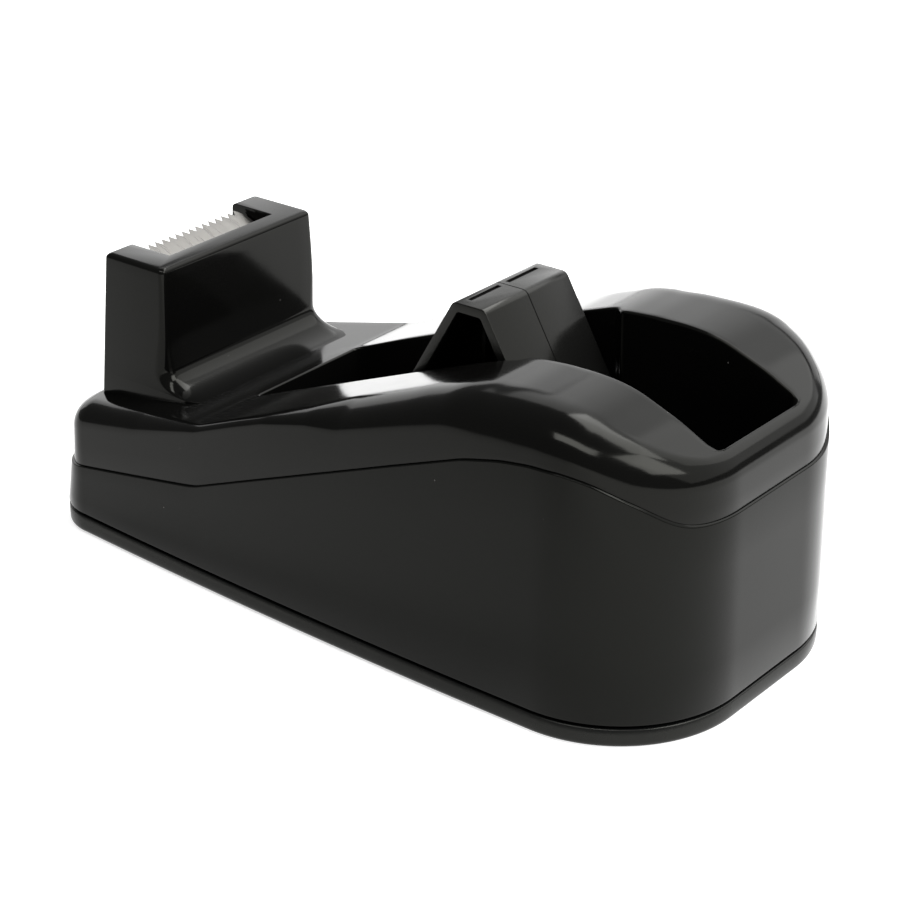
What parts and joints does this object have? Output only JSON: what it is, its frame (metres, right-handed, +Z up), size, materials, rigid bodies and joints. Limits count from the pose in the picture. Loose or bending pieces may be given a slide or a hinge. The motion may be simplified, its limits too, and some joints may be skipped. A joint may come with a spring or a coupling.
{
  "type": "desktop tape dispenser",
  "caption": "Heavy black desktop tape dispenser with a serrated steel cutter on a raised head, an open roll well and a lift-out triangular hub.",
  "frame": {"origin": "middle of the footprint, on the surface the rubber feet stand on", "axes": "+X from the cutter head to the roll end, +Y across to the far side, +Z up"},
  "size_m": [0.2354, 0.1134, 0.1002],
  "materials": {
    "cover_plastic": "gloss black",
    "body_plastic": "gloss black",
    "base_plastic": "satin black",
    "hub_plastic": "satin black",
    "blade_steel": "fine brushed",
    "screw_steel": "plated",
    "ballast_iron": "rough cast",
    "foot_rubber": "matt"
  },
  "bodies": {
    "dispenser": {"top_cover": "cover_plastic", "lower_body": "body_plastic", "base_plate": "base_plastic", "cutter_blade": "blade_steel", "blade_carrier": "hub_plastic", "blade_screw_near": "screw_steel", "blade_screw_far": "screw_steel", "ballast_front": "ballast_iron", "ballast_near": "ballast_iron", "ballast_far": "ballast_iron", "base_screw_1": "screw_steel", "base_screw_2": "screw_steel", "base_screw_3": "screw_steel", "base_screw_4": "screw_steel", "base_screw_5": "screw_steel", "base_screw_6": "screw_steel", "foot_1": "foot_rubber", "foot_2": "foot_rubber", "foot_3": "foot_rubber", "foot_4": "foot_rubber"},
    "axle": {"hub_axle": "screw_steel"},
    "hub": {"hub_half_near": "hub_plastic", "hub_half_far": "hub_plastic"}
  },
  "joints": [
    {"name": "hub_lift", "type": "slide", "parent": "dispenser", "child": "axle", "axis": [0, 0, 1], "range_m": [0, 0.06]},
    {"name": "hub_spin", "type": "hinge", "parent": "axle", "child": "hub", "pos_m": [0.02755, 0, 0.0625], "axis": [0, 1, 0], "continuous": true}
  ]
}
